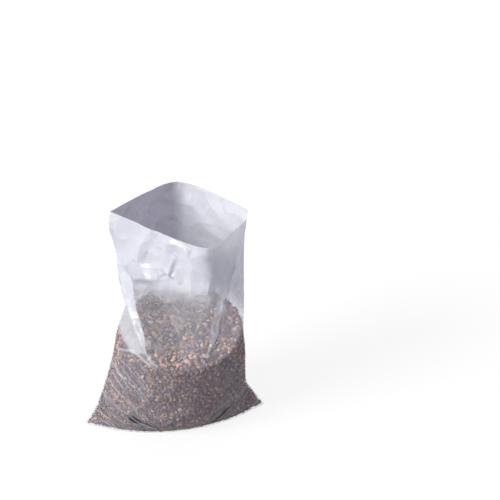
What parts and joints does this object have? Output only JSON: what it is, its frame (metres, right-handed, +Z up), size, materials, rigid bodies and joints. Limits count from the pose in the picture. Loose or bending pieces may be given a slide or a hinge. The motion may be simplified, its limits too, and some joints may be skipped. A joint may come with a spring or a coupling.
{
  "type": "plastic bag",
  "caption": "Clear polythene bag standing open on its sealed base, part filled with gravel, with pointed bottom corners and folded sides.",
  "frame": {"origin": "on the floor under the bag, at the middle of the bottom seal", "axes": "+X along the seal to the right-hand bottom corner, -Y towards the front, +Z up to the open mouth"},
  "size_m": [0.301, 0.2295, 0.3687],
  "materials": {
    "clear_film": "milky clear polythene film, creased",
    "gravel": "rough mixed river gravel, brown, buff and lilac grey",
    "pale_stone": "worn buff stone",
    "brown_stone": "worn brown stone",
    "dark_stone": "dark rough stone"
  },
  "bodies": {
    "root": {"film_bag": "clear_film", "gravel_fill": "gravel", "large_stone_01": "pale_stone", "large_stone_02": "dark_stone", "large_stone_03": "pale_stone", "large_stone_04": "pale_stone", "large_stone_05": "brown_stone", "large_stone_06": "brown_stone", "large_stone_07": "brown_stone", "large_stone_08": "pale_stone", "large_stone_09": "brown_stone", "large_stone_10": "dark_stone", "large_stone_11": "pale_stone", "large_stone_12": "dark_stone"}
  },
  "joints": []
}
